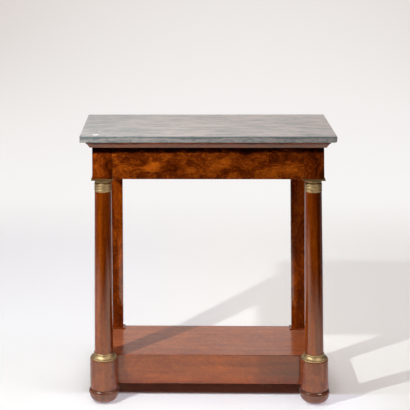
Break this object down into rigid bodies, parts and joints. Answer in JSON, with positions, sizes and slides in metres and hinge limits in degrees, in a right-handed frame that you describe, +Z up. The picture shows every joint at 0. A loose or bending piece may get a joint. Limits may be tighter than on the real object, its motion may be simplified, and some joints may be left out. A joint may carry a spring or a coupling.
{
  "type": "pier table",
  "caption": "Mahogany pier table with a loose grey marble slab, a frieze drawer, turned front columns with brass capitals and rings, back pilasters and a boxed base shelf on feet.",
  "frame": {"origin": "on the floor, under the middle of the marble slab", "axes": "+Z up, +X to the right of somebody facing the drawer, -Y towards them, +Y towards the wall"},
  "size_m": [0.82, 0.38, 0.87],
  "materials": {
    "grey_marble": "polished, veined",
    "mahogany": "figured veneer, french polished",
    "mahogany_feet": "dark turned mahogany, polished",
    "softwood": "plain planed softwood",
    "gilt_brass": "aged gilt, satin",
    "steel": "dull"
  },
  "bodies": {
    "carcase": {"marble_top": "grey_marble", "cornice_front": "mahogany", "cornice_back": "softwood", "cornice_side_right": "mahogany", "cornice_side_left": "mahogany", "cornice_screws": "steel", "corner_block_right": "mahogany", "corner_block_left": "mahogany", "frieze_side_right": "mahogany", "frieze_side_left": "mahogany", "frieze_back": "softwood", "top_front_rail": "softwood", "lower_front_rail": "softwood", "drawer_runner_right": "softwood", "drawer_runner_left": "softwood", "drawer_guide_right": "softwood", "drawer_guide_left": "softwood", "drawer_kicker_right": "softwood", "drawer_kicker_left": "softwood", "drawer_stops": "softwood", "column_right": "mahogany", "column_left": "mahogany", "abacus_right": "gilt_brass", "abacus_left": "gilt_brass", "capital_right": "gilt_brass", "capital_left": "gilt_brass", "base_ring_right": "gilt_brass", "base_ring_left": "gilt_brass", "plinth_block_right": "mahogany", "plinth_block_left": "mahogany", "plinth_dowels": "softwood", "base_front_rail": "mahogany", "base_back_rail": "softwood", "base_side_rail_right": "mahogany", "base_side_rail_left": "mahogany", "shelf_board": "mahogany", "glue_blocks": "softwood", "front_foot_right": "mahogany_feet", "front_foot_left": "mahogany_feet", "back_foot_right": "mahogany_feet", "back_foot_left": "mahogany_feet", "back_foot_dowels": "softwood", "pilaster_right": "mahogany", "pilaster_left": "mahogany", "pilaster_foot_right": "mahogany", "pilaster_foot_left": "mahogany"},
    "drawer": {"drawer_front": "mahogany", "drawer_side_right": "softwood", "drawer_side_left": "softwood", "drawer_back": "softwood", "drawer_bottom": "softwood", "drawer_nails": "steel"}
  },
  "joints": [
    {"name": "drawer_slide", "type": "slide", "parent": "carcase", "child": "drawer", "axis": [0, -1, 0], "range_m": [0, 0.2]}
  ]
}
